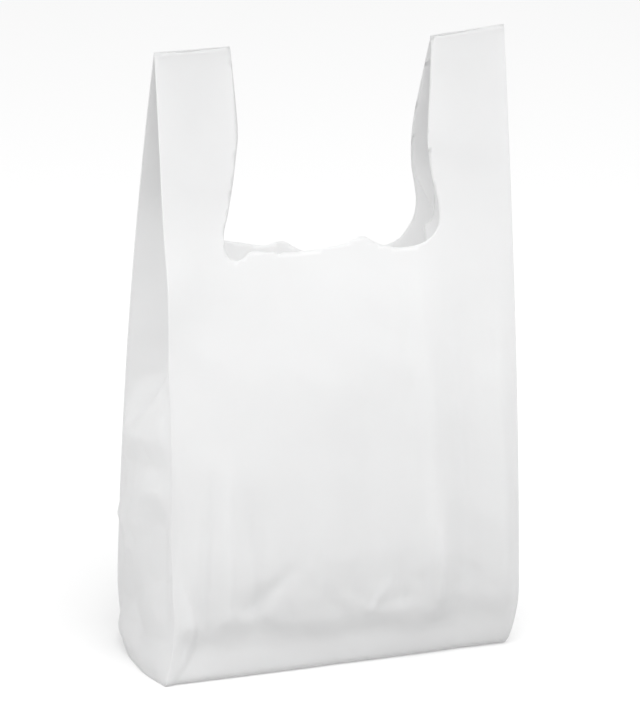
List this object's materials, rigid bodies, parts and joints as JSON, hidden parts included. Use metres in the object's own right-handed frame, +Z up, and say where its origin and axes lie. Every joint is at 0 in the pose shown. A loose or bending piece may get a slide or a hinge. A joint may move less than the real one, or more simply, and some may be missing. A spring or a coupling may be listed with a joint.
{
  "type": "plastic carrier bag",
  "caption": "Thin white film vest carrier bag standing open on its flat base, with side gussets, a wide cut mouth and loop handles.",
  "frame": {"origin": "Middle of the base, on the surface that the bag stands on.", "axes": "+X runs across the bag to its right gusset, -Y is the front panel's side, +Z is up towards the handles."},
  "size_m": [0.324, 0.1423, 0.5115],
  "materials": {
    "white_film": "thin milky white polyethylene film, softly glossy, with fine creases"
  },
  "bodies": {
    "root": {"carrier_bag": "white_film"}
  },
  "joints": []
}
